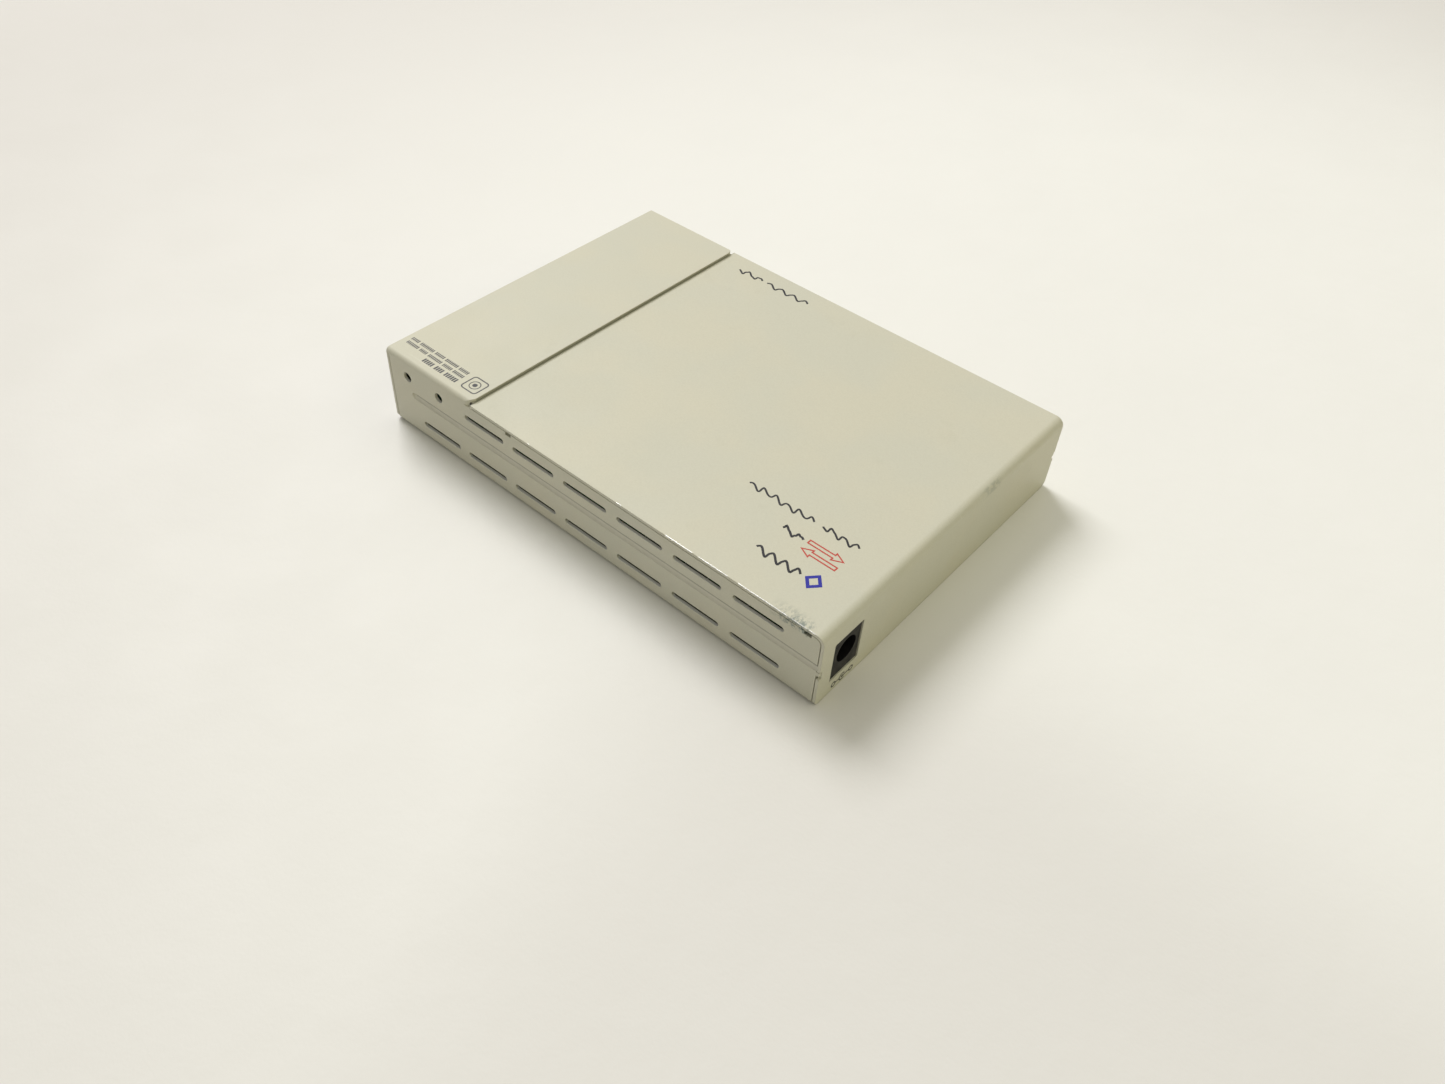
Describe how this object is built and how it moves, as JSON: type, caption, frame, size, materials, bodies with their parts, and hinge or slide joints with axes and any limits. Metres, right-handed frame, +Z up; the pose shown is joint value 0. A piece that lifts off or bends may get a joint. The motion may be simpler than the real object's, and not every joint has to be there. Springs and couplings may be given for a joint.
{
  "type": "fibre media converter",
  "caption": "Folded-steel copper-to-fibre media converter with slotted side walls, a slide-off cover and ports on the front panel.",
  "frame": {"origin": "middle of the underside", "axes": "+X from the front panel to the rear wall, +Z up, -Y is the slotted side towards the viewer"},
  "size_m": [0.132, 0.093, 0.0213],
  "materials": {
    "painted_steel": "satin",
    "zinc_steel": "satin",
    "board_green": "satin",
    "black_plastic": "matte",
    "nickel": "polished",
    "gold": "polished",
    "chip_black": "matte",
    "lens_green": "gloss",
    "slider_white": "matte",
    "switch_blue": "matte",
    "grey_plastic": "matte",
    "sleeve_white": "gloss"
  },
  "bodies": {
    "chassis": {"base_shell": "painted_steel", "front_panel": "painted_steel", "panel_screws": "zinc_steel", "panel_nuts": "zinc_steel", "board_standoffs": "zinc_steel", "board_screws": "zinc_steel", "circuit_board": "board_green", "power_jack_body": "black_plastic", "power_jack_pin": "nickel", "power_jack_spring": "nickel", "fibre_housing": "black_plastic", "fibre_sleeves": "sleeve_white", "fibre_latches": "grey_plastic", "fibre_shield": "nickel", "fibre_leads": "gold", "copper_shield": "nickel", "copper_housing": "black_plastic", "copper_contacts": "gold", "led_holder": "black_plastic", "led_lenses": "lens_green", "dip_switch_body": "switch_blue", "converter_chip": "chip_black", "line_driver_chip": "chip_black", "network_transformer": "chip_black", "voltage_regulator": "chip_black", "crystal": "nickel", "capacitors": "black_plastic", "power_inductor": "chip_black", "chip_components": "grey_plastic"},
    "cover": {"top_cover": "painted_steel", "cover_screws": "zinc_steel", "cover_nuts": "zinc_steel"},
    "slider_1": {"dip_slider_1": "slider_white"},
    "slider_2": {"dip_slider_2": "slider_white"},
    "slider_3": {"dip_slider_3": "slider_white"},
    "slider_4": {"dip_slider_4": "slider_white"}
  },
  "joints": [
    {"name": "cover_slide", "type": "slide", "parent": "chassis", "child": "cover", "axis": [1, 0, 0], "range_m": [0, 0.03]},
    {"name": "dip_1", "type": "slide", "parent": "chassis", "child": "slider_1", "axis": [0, 0, 1], "range_m": [0, 0.0014]},
    {"name": "dip_2", "type": "slide", "parent": "chassis", "child": "slider_2", "axis": [0, 0, 1], "range_m": [0, 0.0014]},
    {"name": "dip_3", "type": "slide", "parent": "chassis", "child": "slider_3", "axis": [0, 0, 1], "range_m": [0, 0.0014]},
    {"name": "dip_4", "type": "slide", "parent": "chassis", "child": "slider_4", "axis": [0, 0, 1], "range_m": [0, 0.0014]}
  ]
}
